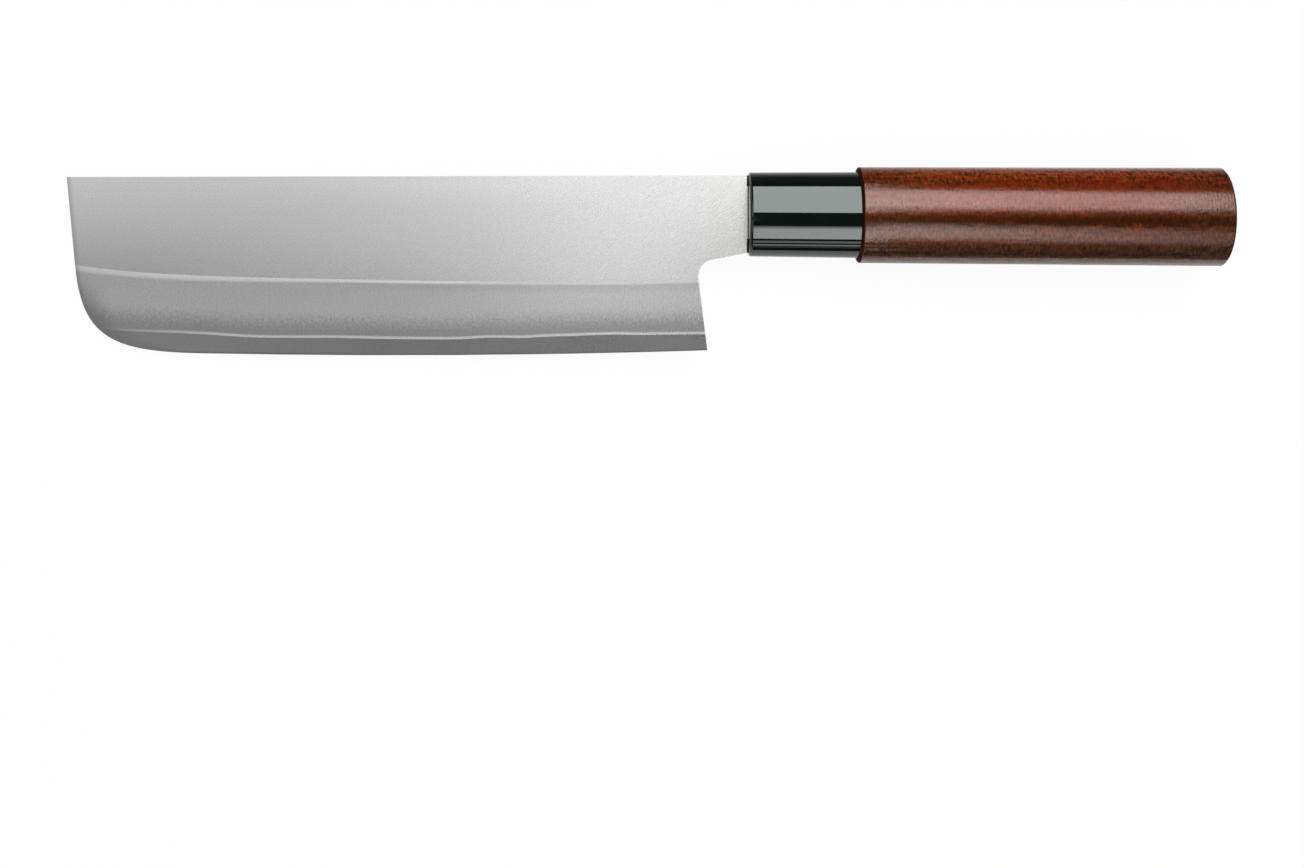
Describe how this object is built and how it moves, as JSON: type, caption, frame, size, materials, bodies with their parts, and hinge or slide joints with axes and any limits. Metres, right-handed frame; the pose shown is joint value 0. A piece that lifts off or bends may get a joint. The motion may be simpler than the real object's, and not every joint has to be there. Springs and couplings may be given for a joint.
{
  "type": "nakiri knife",
  "caption": "Straight-edged Japanese vegetable knife with a laminated double-bevel blade, black resin ferrule and oval lacquered wooden grip.",
  "frame": {"origin": "under the middle of the knife's box as it lies on its side, at the height of the grip's lowest line", "axes": "+X along the knife from the tip to the butt, +Y from the cutting edge to the spine, +Z out of the knife's left side; the blade's middle plane is square to Z"},
  "size_m": [0.2976, 0.0486, 0.0198],
  "materials": {
    "core_steel": "hazy grey, finely ground",
    "cladding_iron": "satin, with fine diagonal scratches on the flat and scratches square to the edge on the bevel",
    "black_resin": "glossy, moulded",
    "lacquered_wood": "red-brown stain under glossy clear lacquer",
    "adhesive": "cured resin",
    "sealant": "dull black bead"
  },
  "bodies": {
    "root": {"core_steel": "core_steel", "left_cladding": "cladding_iron", "right_cladding": "cladding_iron", "ferrule": "black_resin", "wooden_grip": "lacquered_wood", "tang_adhesive": "adhesive", "mouth_seal": "sealant"}
  },
  "joints": []
}
